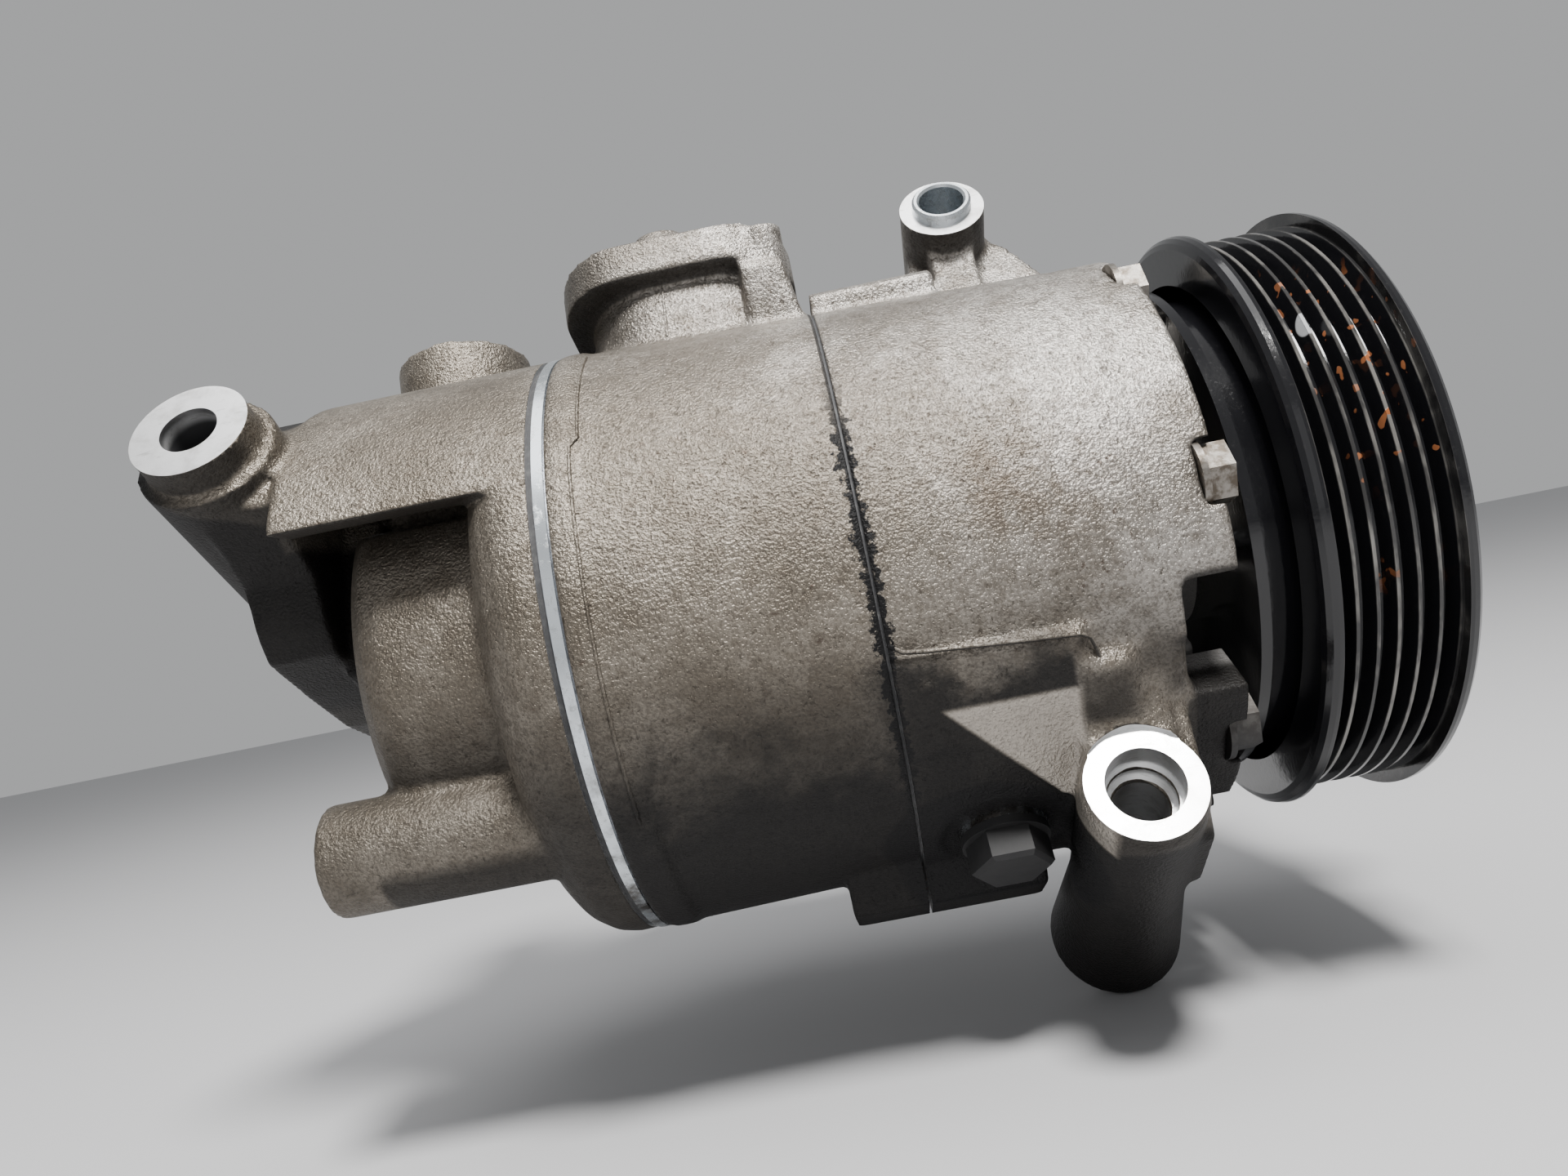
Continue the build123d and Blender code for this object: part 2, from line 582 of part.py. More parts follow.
with BuildPart() as field_coil_shell:
    turned(
        [
            (COIL_PLATE_X, SHOULDER_R), (COIL_PLATE_X, 51.5), (-19, 51.5), (-19, COIL_OUT_R),
            (COIL_FRONT_X, COIL_OUT_R), (COIL_FRONT_X, COIL_OUT_R - COIL_WALL),
            (-17.5, COIL_OUT_R - COIL_WALL), (-17.5, COIL_IN_R + COIL_WALL),
            (COIL_FRONT_X, COIL_IN_R + COIL_WALL), (COIL_FRONT_X, COIL_IN_R),
            (-19, COIL_IN_R), (-19, SHOULDER_R),
        ]
    )
save(field_coil_shell.part, "field_coil_shell")

with BuildPart() as field_coil_winding:
    disc(-17.5, COIL_FRONT_X - 1, COIL_OUT_R - COIL_WALL, COIL_IN_R + COIL_WALL)
save(field_coil_winding.part, "field_coil_winding")

with BuildPart() as coil_connector:
    place = radial_frame(CONNECTOR_ANGLE, 0)
    prism(place, -28, COIL_PLATE_X, [(44, -8), (57, -8), (59, -6), (59, 6), (57, 8), (44, 8)])
    prism(place, -28, -26, [(52, -9.5), (59, -9.5), (59, 9.5), (52, 9.5)])
    socket = [(-2.4, -6.5), (2.4, -6.5), (2.4, 6.5), (-2.4, 6.5)]
    prism(spoke_frame(-24.5, CONNECTOR_ANGLE, 0), 56, 60, socket, Mode.SUBTRACT)
    for side in (-2.5, 2.5):
        rod(spoke_frame(-24.5, CONNECTOR_ANGLE, 0), 54, 58.4, 0.8, (0, side))
save(coil_connector.part, "coil_connector")


def snap_ring(x_low, x_high, inner, outer, angle, name):
    """An open circlip round the shaft axis, with its gap at an angle."""
    with BuildPart() as ring:
        disc(x_low, x_high, outer, inner)
        gap = radial_frame(angle, 0)
        prism(gap, x_low, x_high, [(0, -3), (outer + 4, -3), (outer + 4, 3), (0, 3)], Mode.SUBTRACT)
    save(ring.part, name)


snap_ring(-18.7, -17.5, 19.0, 22.6, 270, "coil_circlip")
snap_ring(4.3, 5.4, 16.5, 20.2, 90, "bearing_circlip")

# --- pulley and its bearing -----------------------------------------------------------------------

HUB_OUT_R = 31.0
BEARING_OUT_R = 27.5
WEB_BACK_X = 4.0
FLANGE_EDGE = [
    (PULLEY_HALF - 2.2, FLANGE_R), (PULLEY_HALF - 1.2, FLANGE_R - 0.3), (PULLEY_HALF - 0.4, FLANGE_R - 1.1),
    (PULLEY_HALF, FLANGE_R - 2.2),
]


def groove_line():
    """Outline of the belt grooves, from the rear flange to the front flange."""
    half = RIB_PITCH / 2
    points = [(-half * RIB_COUNT, FLANGE_R), (-half * RIB_COUNT, CREST_R)]
    for rib in range(RIB_COUNT):
        middle = (rib - (RIB_COUNT - 1) / 2) * RIB_PITCH
        points += [(middle - half + 0.3, CREST_R), (middle - 0.5, GROOVE_ROOT_R)]
        points += [(middle + 0.5, GROOVE_ROOT_R), (middle + half - 0.3, CREST_R)]
    return points + [(half * RIB_COUNT, CREST_R), (half * RIB_COUNT, FLANGE_R)]


with BuildPart() as pulley:
    turned(
        [(-x, radius) for x, radius in reversed(FLANGE_EDGE)]
        + groove_line()
        + FLANGE_EDGE
        + [
            (PULLEY_HALF, 54.5),
            (FRICTION_X, 53), (FRICTION_X, 25), (4.1, 25), (4.1, BEARING_OUT_R), (-14.5, BEARING_OUT_R),
            (-14.5, HUB_OUT_R), (WEB_BACK_X, HUB_OUT_R + 0.6), (WEB_BACK_X, RIM_BORE_R),
            (-PULLEY_HALF, RIM_BORE_R + 1.5),
        ]
    )
    with BuildSketch(Plane.YZ.offset(WEB_BACK_X)) as windows:
        with PolarLocations(0, 6):
            SlotArc(CenterArc((0, 0), 41, 0, 42), 3)
    extrude(windows.sketch, amount=FRICTION_X - WEB_BACK_X, mode=Mode.SUBTRACT)
save(pulley.part, "pulley")

BALL_R = 2.6
BALL_CIRCLE_R = 22.75
BALL_ROWS = (-10.6, -1.4)
RACE_IN_R = 21.0
RACE_OUT_R = 24.5


def race_grooves():
    """The two ball tracks of a bearing race."""
    for x in BALL_ROWS:
        with BuildSketch(Plane.XZ) as track:
            with Locations((x, BALL_CIRCLE_R)):
                Circle(BALL_R + 0.06)
        revolve(track.sketch, axis=Axis.X, mode=Mode.SUBTRACT)


with BuildPart() as bearing_inner_race:
    disc(-16, 4.2, RACE_IN_R, NOSE_R)
    race_grooves()
save(bearing_inner_race.part, "bearing_inner_race")

with BuildPart() as bearing_outer_race:
    disc(-16, 4.1, BEARING_OUT_R, RACE_OUT_R)
    race_grooves()
save(bearing_outer_race.part, "bearing_outer_race")

with BuildPart() as bearing_balls:
    for x in BALL_ROWS:
        with Locations(Plane.YZ.offset(x)):
            with PolarLocations(BALL_CIRCLE_R, 16):
                Sphere(BALL_R)
save(bearing_balls.part, "bearing_balls")

with BuildPart() as bearing_seals:
    disc(-15.6, -14.6, RACE_OUT_R, RACE_IN_R + 0.15)
    disc(2.9, 3.9, RACE_OUT_R, RACE_IN_R + 0.15)
save(bearing_seals.part, "bearing_seals")

# --- clutch plate and hub -------------------------------------------------------------------------

ARMATURE_X = FRICTION_X + AIR_GAP
ARMATURE_END_X = ARMATURE_X + 3.8
HUB_PLATE_X = 14.2
HUB_PLATE_T = 2.4
SPRING_ANGLES = (90, 210, 330)
HUB_SEAT_R = 6.5
SPRING_HOLD_R = 31.0        # where each leaf spring is riveted to the hub
SPRING_PULL_R = 44.0        # and to the armature
LEAF_T = 0.6
RIVET_R = 2.0


def leaf_end(angle, radius):
    """Place of a rivet round the clutch."""
    return (radius * cos(radians(angle)), radius * sin(radians(angle)))


with BuildPart() as armature_plate:
    disc(ARMATURE_X, ARMATURE_END_X, 52, 27.5)
    with BuildSketch(Plane.YZ.offset(ARMATURE_X)) as windows:
        with PolarLocations(0, 6, start_angle=9):
            SlotArc(CenterArc((0, 0), 38, 0, 42), 3)
    extrude(windows.sketch, amount=ARMATURE_END_X - ARMATURE_X, mode=Mode.SUBTRACT)
    for angle in SPRING_ANGLES:
        rod(Plane.YZ, ARMATURE_END_X, HUB_PLATE_X + 0.4, 2.6, leaf_end(angle + 40, SPRING_PULL_R))
save(armature_plate.part, "armature_plate")

with BuildPart() as clutch_hub:
    disc(4.1, HUB_PLATE_X + HUB_PLATE_T, 12, HUB_SEAT_R)
    with BuildSketch(Plane.YZ.offset(HUB_PLATE_X)) as plate:
        Circle(24)
        with PolarLocations(27, 3, start_angle=SPRING_ANGLES[0]):
            Rectangle(20, 16)
        Circle(36, mode=Mode.INTERSECT)
        Circle(HUB_SEAT_R, mode=Mode.SUBTRACT)
    extrude(plate.sketch, amount=HUB_PLATE_T)
    for angle in SPRING_ANGLES:
        place = leaf_end(angle, SPRING_HOLD_R)
        rod(Plane.YZ, HUB_PLATE_X, HUB_PLATE_X + HUB_PLATE_T, RIVET_R, place, Mode.SUBTRACT)
save(clutch_hub.part, "clutch_hub")

with BuildPart() as leaf_springs:
    for angle in SPRING_ANGLES:
        hold = Vector(*leaf_end(angle, SPRING_HOLD_R))
        run = Vector(*leaf_end(angle + 40, SPRING_PULL_R)) - hold
        with BuildSketch(Plane.YZ.offset(HUB_PLATE_X - LEAF_T)) as leaf:
            with Locations(hold + run / 2):
                SlotCenterToCenter(run.length, 9, rotation=degrees(atan2(run.Y, run.X)))
        extrude(leaf.sketch, amount=LEAF_T)
        rod(Plane.YZ, 12, 16, 2.9, leaf_end(angle + 40, SPRING_PULL_R), Mode.SUBTRACT)
        rod(Plane.YZ, 12, 16, RIVET_R, leaf_end(angle, SPRING_HOLD_R), Mode.SUBTRACT)
save(leaf_springs.part, "leaf_springs")

with BuildPart() as hub_rivets:
    for angle in SPRING_ANGLES:
        place = leaf_end(angle, SPRING_HOLD_R)
        rod(Plane.YZ, HUB_PLATE_X - LEAF_T, HUB_PLATE_X + HUB_PLATE_T, RIVET_R, place)
        rod(Plane.YZ, HUB_PLATE_X - LEAF_T - 0.7, HUB_PLATE_X - LEAF_T, 3.4, place)
        rod(Plane.YZ, HUB_PLATE_X + HUB_PLATE_T, HUB_PLATE_X + HUB_PLATE_T + 1.2, 3.4, place)
save(hub_rivets.part, "hub_rivets")

NUT_X = HUB_PLATE_X + HUB_PLATE_T
THREAD_R = 4.0

with BuildPart() as hub_nut:
    rod(Plane.YZ, NUT_X, NUT_X + 1.0, 8.6)
    hexagon(Plane.YZ, NUT_X + 1.0, NUT_X + 6.5, 7.5)
    rod(Plane.YZ, NUT_X, NUT_X + 6.5, THREAD_R, mode=Mode.SUBTRACT)
save(hub_nut.part, "hub_nut")

# --- shaft, seal and bearings ---------------------------------------------------------------------

with BuildPart() as drive_shaft:
    turned(
        [
            (-126, 0), (-126, 7.4), (-125.4, 8), (-104, 8), (-104, SHAFT_R), (-23, SHAFT_R),
            (-23, SEAL_SHAFT_R), (4.1, SEAL_SHAFT_R), (4.1, HUB_SEAT_R), (NUT_X, HUB_SEAT_R), (NUT_X, THREAD_R),
            (NUT_X + 7.5, THREAD_R), (NUT_X + 8, THREAD_R - 0.6), (NUT_X + 8, 0),
        ]
    )
save(drive_shaft.part, "drive_shaft")

with BuildPart() as shaft_seal:
    disc(-20.8, -19.2, 14, SEAL_SHAFT_R + RUN_GAP)
    disc(-19.2, -12, 14, 11.5)
    disc(-13.6, -12, 11.6, SEAL_SHAFT_R + RUN_GAP)
save(shaft_seal.part, "shaft_seal")

snap_ring(-10.5, -9.3, 11.6, 15.0, 180, "seal_circlip")

with BuildPart() as front_needle_bearing:
    disc(-40.4, -25.2, 13, SHAFT_R + RUN_GAP)
save(front_needle_bearing.part, "front_needle_bearing")

with BuildPart() as rear_needle_bearing:
    disc(-123, -105, HUB_BORE_R, 8 + RUN_GAP)
save(rear_needle_bearing.part, "rear_needle_bearing")

with BuildPart() as front_thrust_bearing:
    disc(-43.9, WALL_IN_X, 28, 14)
save(front_thrust_bearing.part, "front_thrust_bearing")

with BuildPart() as shaft_end_stop:
    disc(-132, -126.1, HUB_BORE_R)
    prism(Plane.YZ, -132, -130, [(-8, -1), (8, -1), (8, 1), (-8, 1)], Mode.SUBTRACT)
save(shaft_end_stop.part, "shaft_end_stop")

# --- rotor and swash plate ------------------------------------------------------------------------

LUG_LOW_R = 14.0
LUG_HIGH_R = 26.0

with BuildPart() as rotor:
    turned([(-52, SHAFT_R), (-52, 40), (-49, 46), (-44, 46), (-44, SHAFT_R)])
    for side in (-9.5, 4.5):
        fork = [(LUG_LOW_R, side), (LUG_HIGH_R, side), (LUG_HIGH_R, side + 5), (LUG_LOW_R, side + 5)]
        prism(TDC, -61, -52, fork)
    prism(TDC, -52, -44, [(20, -30), (50, -30), (50, -18), (20, -18)], Mode.SUBTRACT)
    prism(TDC, -52, -44, [(20, 18), (50, 18), (50, 30), (20, 30)], Mode.SUBTRACT)
save(rotor.part, "rotor")

SLOT_RUN = 3.6              # extra length of the shaft slot each way, for the tilt

with BuildPart() as swash_plate:
    disc(SWASH_X - SWASH_HALF, SWASH_X + SWASH_HALF, SWASH_R)
    disc(SWASH_X - 6, SWASH_X + 6, 17)
    prism(TDC, SWASH_X + 3, -66, [(LUG_LOW_R, -4), (LUG_HIGH_R, -4), (LUG_HIGH_R, 4), (LUG_LOW_R, 4)])
    with BuildSketch(TDC.offset(SWASH_X - 7)) as slot:
        SlotCenterToCenter(2 * SLOT_RUN, 2 * (SHAFT_R + RUN_GAP))
    extrude(slot.sketch, amount=30, mode=Mode.SUBTRACT)
save(swash_plate.part, "swash_plate")

save(coil_spring(Plane.YZ, -65, -52.1, 11.4, 1.8, 3.5), "destroke_spring")
save(coil_spring(Plane.YZ, -98.5, -91.2, 11.4, 1.6, 2.5), "return_spring")
snap_ring(-100.2, -99, SHAFT_R, 12.8, 0, "return_spring_clip")

# --- pistons and shoes ----------------------------------------------------------------------------

HEAD_REAR_X = PLATE_FRONT_X + 0.4
HEAD_FRONT_X = -108.5
POCKET_X = -97.4
GAP_HALF = 6.5
BRIDGE_IN = 9.2             # outwards from the piston's own axis
BRIDGE_OUT_R = 49.3         # from the shaft axis


def piston_of(number):
    """One piston: head with two ring grooves, neck, and the two-sided shoe pocket."""
    axis = radial_frame(angle_of(number), PISTON_CIRCLE_R)
    with BuildPart() as piston:
        rod(axis, HEAD_REAR_X, HEAD_FRONT_X, PISTON_R)
        for x in (HEAD_REAR_X + 3, HEAD_REAR_X + 7):
            with BuildSketch(axis.offset(x)) as groove:
                Circle(PISTON_R + 1)
                Circle(PISTON_R - 0.8, mode=Mode.SUBTRACT)
            extrude(groove.sketch, amount=1.6, mode=Mode.SUBTRACT)
        rod(axis, HEAD_FRONT_X, POCKET_X, 8.5)
        with BuildSketch(axis.offset(POCKET_X)) as pocket:
            with Locations((-8, 0)):
                Rectangle(30, 15, align=(Align.MIN, Align.CENTER))
            with Locations((-PISTON_CIRCLE_R, 0)):
                Circle(BRIDGE_OUT_R, mode=Mode.INTERSECT)
        extrude(pocket.sketch, amount=SWASH_X + SOCKET_HALF - POCKET_X)
        with BuildSketch(axis.offset(SWASH_X - GAP_HALF)) as gap:
            with Locations((-10, 0)):
                Rectangle(10 + BRIDGE_IN, 30, align=(Align.MIN, Align.CENTER))
        extrude(gap.sketch, amount=2 * GAP_HALF, mode=Mode.SUBTRACT)
        with Locations(axis.offset(SWASH_X)):
            Sphere(SOCKET_R, mode=Mode.SUBTRACT)
    return piston.part


def shoes_of(number):
    """The pair of half-round shoes that ride on the two faces of the swash plate."""
    axis = radial_frame(angle_of(number), PISTON_CIRCLE_R)
    with BuildPart() as shoes:
        with Locations(axis.offset(SWASH_X)):
            Sphere(SHOE_SPHERE_R)
            Box(30, 30, 2 * SHOE_FLAT, mode=Mode.SUBTRACT)
    return shoes.part


for number in range(CYLINDERS):
    save(piston_of(number), f"piston_{number + 1}")
    save(shoes_of(number), f"shoes_{number + 1}")

print(len(written), "pieces written")
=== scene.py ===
import json
import math
import bmesh
import bpy
from mathutils import Matrix, Vector


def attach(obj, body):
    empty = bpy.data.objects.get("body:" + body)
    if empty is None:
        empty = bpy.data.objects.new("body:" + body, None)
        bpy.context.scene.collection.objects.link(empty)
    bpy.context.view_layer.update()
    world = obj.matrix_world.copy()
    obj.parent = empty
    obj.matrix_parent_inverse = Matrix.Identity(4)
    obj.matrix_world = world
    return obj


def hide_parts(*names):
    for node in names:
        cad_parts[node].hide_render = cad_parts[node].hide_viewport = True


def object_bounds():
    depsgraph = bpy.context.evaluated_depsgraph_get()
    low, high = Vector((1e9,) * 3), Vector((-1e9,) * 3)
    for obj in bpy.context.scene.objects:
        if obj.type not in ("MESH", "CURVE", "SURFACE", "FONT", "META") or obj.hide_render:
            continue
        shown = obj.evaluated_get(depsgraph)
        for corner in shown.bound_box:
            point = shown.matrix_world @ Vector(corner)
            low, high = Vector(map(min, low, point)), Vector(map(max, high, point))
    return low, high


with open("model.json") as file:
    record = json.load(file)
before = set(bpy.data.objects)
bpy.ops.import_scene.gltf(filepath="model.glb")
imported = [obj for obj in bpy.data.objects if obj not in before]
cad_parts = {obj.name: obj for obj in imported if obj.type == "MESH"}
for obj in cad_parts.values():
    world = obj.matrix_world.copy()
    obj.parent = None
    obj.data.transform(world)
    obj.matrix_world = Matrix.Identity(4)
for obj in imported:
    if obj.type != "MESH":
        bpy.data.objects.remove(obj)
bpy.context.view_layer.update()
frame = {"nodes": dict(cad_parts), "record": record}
MM = 0.001

# --- places on the part, in millimetres -------------------------------------------------------------

ALONG = Vector((1.0, 0.0, 0.0))
EAR_TILT = math.radians(36.0)
BOLT_WAY = Vector((0.0, -math.cos(EAR_TILT), math.sin(EAR_TILT)))
ACROSS = Vector((0.0, math.sin(EAR_TILT), math.cos(EAR_TILT)))

# The middle of each ear's face: x, distance across the bolts, height along the bolts.
LOWER_EAR = (-49.0, -68.0, 24.0)
TOP_EAR = (-53.0, 70.0, 42.5)
REAR_EAR = (-204.9, 15.7, 70.0)

# The flat faces where the three castings meet.
HOUSING_REAR_X = -87.0
BLOCK_FRONT_X = -87.5
BLOCK_REAR_X = -140.0
HEAD_FRONT_X = -143.6
SEAM_X = -87.4

PAD_CORNER = (-60.0, -56.0, -23.0)
PAD_NORMAL = (0.0, -0.417, 0.909)
STAIN = (-60.0, -57.0, 14.0)
MANIFOLD_FOOT = (-137.0, -12.0, 72.0)
SUMP = (-76.0, -42.0, -58.0)
VALVE_BOSS = (-195.0, -38.0, -31.0)
PAINT_CHIP = (-3.4, -49.6, 31.0)
BELT_HALF_WIDTH = 10.9
RIB_CREST_RADIUS = 58.45

# --- camera -----------------------------------------------------------------------------------------

YAW, PITCH, ROLL = math.radians(-2.31), math.radians(0.94), math.radians(-11.33)
CAMERA_AT = Vector((-94.1, -258.6, 0.0)) * MM
SENSOR_WIDTH = 36.0
FOCAL_LENGTH = 26.89
NEAREST, FARTHEST = 0.01, 20.0


def new_object(name, data):
    """A new object in the scene."""
    made = bpy.data.objects.new(name, data)
    bpy.context.scene.collection.objects.link(made)
    return made


def make_camera():
    """The camera looks at the near side of the body, turned a little and rolled."""
    forward = Vector((math.sin(YAW) * math.cos(PITCH), math.cos(YAW) * math.cos(PITCH), math.sin(PITCH)))
    level = Vector((math.cos(YAW), -math.sin(YAW), 0.0))
    upright = level.cross(forward)
    right = level * math.cos(ROLL) + upright * math.sin(ROLL)
    up = upright * math.cos(ROLL) - level * math.sin(ROLL)
    data = bpy.data.cameras.new("camera")
    data.sensor_width = SENSOR_WIDTH
    data.lens = FOCAL_LENGTH
    data.clip_start = NEAREST
    data.clip_end = FARTHEST
    camera = new_object("camera", data)
    camera.matrix_world = Matrix.Translation(CAMERA_AT) @ Matrix((right, up, -forward)).transposed().to_4x4()
    bpy.context.scene.camera = camera


# --- node helpers -----------------------------------------------------------------------------------


class Shader:
    """Builds one node material on places in millimetres; its methods return output sockets."""

    def __init__(self, name):
        self.material = bpy.data.materials.new(name)
        self.material.use_nodes = True
        self.tree = self.material.node_tree
        self.bsdf = self.tree.nodes["Principled BSDF"]
        coordinates = self.tree.nodes.new("ShaderNodeTexCoord")
        self.place = self.vector("SCALE", coordinates.outputs["Object"], scale=1.0 / MM)
        split = self.tree.nodes.new("ShaderNodeSeparateXYZ")
        self.tree.links.new(self.place, split.inputs[0])
        self.x, self.y, self.z = split.outputs
        self.up = self.vector("DOT_PRODUCT", coordinates.outputs["Normal"], (0.0, 0.0, 1.0))

    def put(self, socket, value):
        """Links a socket, or sets a constant; a colour may leave out its alpha."""
        if isinstance(value, bpy.types.NodeSocket):
            self.tree.links.new(value, socket)
        elif socket.type == "RGBA" and len(value) == 3:
            socket.default_value = (*value, 1.0)
        else:
            socket.default_value = value

    def vector(self, operation, first, second=None, scale=None):
        """Vector arithmetic."""
        made = self.tree.nodes.new("ShaderNodeVectorMath")
        made.operation = operation
        self.put(made.inputs[0], first)
        if second is not None:
            self.put(made.inputs[1], second)
        if scale is not None:
            self.put(made.inputs["Scale"], scale)
        return made.outputs["Value" if operation in ("DOT_PRODUCT", "DISTANCE") else "Vector"]

    def math(self, operation, *values):
        """Number arithmetic."""
        made = self.tree.nodes.new("ShaderNodeMath")
        made.operation = operation
        for socket, value in zip(made.inputs, values):
            self.put(socket, value)
        return made.outputs[0]

    def product(self, first, *others):
        """All the values multiplied: for masks, where all of them are."""
        for other in others:
            first = self.math("MULTIPLY", first, other)
        return first

    def highest(self, first, *others):
        """The highest value: for masks, where any of them is."""
        for other in others:
            first = self.math("MAXIMUM", first, other)
        return first

    def outside(self, mask):
        """Where a mask is not."""
        return self.math("SUBTRACT", 1.0, mask)

    def step(self, value, none_at, full_at):
        """0 at the first limit and 1 at the second, smooth between; either limit may be the higher."""
        made = self.tree.nodes.new("ShaderNodeMapRange")
        made.interpolation_type = "SMOOTHSTEP"
        self.put(made.inputs["Value"], value)
        falls = none_at > full_at
        made.inputs["From Min"].default_value = min(none_at, full_at)
        made.inputs["From Max"].default_value = max(none_at, full_at)
        made.inputs["To Min"].default_value = 1.0 if falls else 0.0
        made.inputs["To Max"].default_value = 0.0 if falls else 1.0
        return made.outputs["Result"]

    def noise(self, size, detail=3.0, rough=0.55, stretch=None):
        """Noise whose blobs are about size millimetres."""
        made = self.tree.nodes.new("ShaderNodeTexNoise")
        made.inputs["Scale"].default_value = 1.0 / size
        made.inputs["Detail"].default_value = detail
        made.inputs["Roughness"].default_value = rough
        place = self.vector("MULTIPLY", self.place, stretch) if stretch else self.place
        self.tree.links.new(place, made.inputs["Vector"])
        return made.outputs["Fac"]

    def ragged(self, value, noise, reach):
        """A value that noise shifts by up to half of reach either way."""
        return self.math("ADD", value, self.product(self.math("SUBTRACT", noise, 0.5), reach))

    def mix(self, amount, first, second):
        """Colour mix; the node's colour sockets are 6 and 7."""
        made = self.tree.nodes.new("ShaderNodeMix")
        made.data_type = "RGBA"
        for number, value in ((0, amount), (6, first), (7, second)):
            self.put(made.inputs[number], value)
        return made.outputs[2]

    def coats(self, colour, *coats):
        """A colour under coats of (mask, strength, colour), laid one after another."""
        for mask, strength, shade in coats:
            colour = self.mix(self.product(mask, strength), colour, shade)
        return colour

    def blend(self, amount, first, second):
        """Number mix; the node's number sockets are 2 and 3."""
        made = self.tree.nodes.new("ShaderNodeMix")
        for number, value in ((0, amount), (2, first), (3, second)):
            self.put(made.inputs[number], value)
        return made.outputs[0]

    def bump(self, height, distance, strength=1.0, below=None):
        """Bump of a height field of 0 to 1 that stands distance millimetres high."""
        made = self.tree.nodes.new("ShaderNodeBump")
        made.inputs["Strength"].default_value = strength
        made.inputs["Distance"].default_value = distance * MM
        self.put(made.inputs["Height"], height)
        if below is not None:
            self.tree.links.new(below, made.inputs["Normal"])
        return made.outputs["Normal"]

    def radius(self):
        """Distance from the shaft axis."""
        squares = self.math("ADD", self.product(self.y, self.y), self.product(self.z, self.z))
        return self.math("SQRT", squares)

    def bolt_height(self):
        """Height along the ear bolts."""
        return self.vector("DOT_PRODUCT", self.place, BOLT_WAY)

    def near(self, point, inner, outer):
        """1 within inner of a point and 0 beyond outer."""
        return self.step(self.vector("DISTANCE", self.place, point), outer, inner)

    def set(self, **values):
        """Sets the surface's sockets and returns the material."""
        for name, value in values.items():
            self.put(self.bsdf.inputs[name.replace("_", " ")], value)
        return self.material


# --- cast aluminium ---------------------------------------------------------------------------------

CLEAN_REAR, CLEAN_FRONT = (0.24, 0.213, 0.178), (0.47, 0.445, 0.415)
DULL_REAR, DULL_FRONT = (0.15, 0.130, 0.105), (0.26, 0.238, 0.212)
COARSE_DIRT = (0.105, 0.086, 0.066)
GRAIN_DIRT = (0.075, 0.063, 0.050)
PIT_DIRT = (0.050, 0.041, 0.032)
FLECK = (0.060, 0.042, 0.032)
STAIN_BROWN = (0.10, 0.076, 0.055)
PORT_DIRT = (0.085, 0.078, 0.070)
WIPED_PALE = (0.50, 0.46, 0.41)
# The black of oil and of painted shade.
OIL_AND_SHADE_BLACK = (0.0045, 0.0042, 0.0045)
PALE_INSIDE = (0.30, 0.29, 0.28)


def cast_skin(s, grain, coarse, pits):
    """Colour of the dry casting: cloudy, speckled and pitted, paler towards the front, and paler towards the
    top as painted light from above.
    """
    # Painted light: the skin is made paler towards the top, where the light from above falls, and paler
    # towards the front.
    front_tone_and_top_light = s.step(s.math("ADD", s.x, s.product(s.z, 0.9)), -110.0, 0.0)
    cloud = s.step(s.noise(30.0, 4.0, 0.62), 0.40, 0.60)
    flecks = s.step(s.noise(1.9, 5.0, 0.7), 0.585, 0.68)
    fleck_patches = s.step(s.noise(19.0, 3.0, 0.6), 0.44, 0.64)
    stain_patches = s.step(s.noise(7.0, 4.0, 0.6), 0.40, 0.62)
    dull_colour = s.mix(front_tone_and_top_light, DULL_REAR, DULL_FRONT)
    clean_colour = s.mix(front_tone_and_top_light, CLEAN_REAR, CLEAN_FRONT)
    return s.coats(
        s.mix(cloud, dull_colour, clean_colour),
        (s.step(coarse, 0.45, 0.66), 0.45, COARSE_DIRT),
        (s.step(grain, 0.56, 0.40), 0.42, GRAIN_DIRT),
        (pits, 0.60, PIT_DIRT),
        (s.product(flecks, fleck_patches), 0.8, FLECK),
        (s.product(s.near(STAIN, 3.0, 19.0), stain_patches), 0.6, STAIN_BROWN),
        (s.near(MANIFOLD_FOOT, 6.0, 24.0), 0.5, PORT_DIRT),
    )


def wiped_triangle(s):
    """The clean slanted face beside the drain pad, under the lower ear."""
    down = s.vector("DOT_PRODUCT", s.vector("SUBTRACT", s.place, PAD_CORNER), PAD_NORMAL)
    slant = s.math("ADD", down, s.product(s.math("ADD", s.x, 79.5), 1.135))
    within = s.product(s.step(s.x, -55.0, -57.0), s.step(s.y, -44.0, -47.0))
    return s.product(s.step(down, 1.2, -0.2), s.step(slant, -0.4, 1.2), within)


def wiped_column(s):
    """The clean strip in front of the triangle."""
    return s.product(s.step(s.x, -57.0, -55.0), s.step(s.z, -53.0, -47.0), s.step(s.x, -35.0, -38.0))


def low_oil_and_shade(s, wiped):
    """Oil and painted shade on the lower half, thinner on the rear head, with a ragged upper edge and clean
    where wiped.
    """
    edge = s.ragged(s.z, s.noise(17.0, 5.0, 0.65), 34.0)
    rear_part = s.step(s.x, -138.0, -152.0)
    # The black here stands for oil and for painted shade under the light from above.
    whole = s.product(s.step(edge, 0.0, -36.0), s.outside(s.product(rear_part, 0.65)), 0.97)
    front = s.product(s.step(edge, -4.0, -20.0), s.step(s.x, -108.0, -84.0), 0.95)
    return s.product(s.highest(whole, front, s.near(SUMP, 20.0, 38.0)), s.outside(wiped))


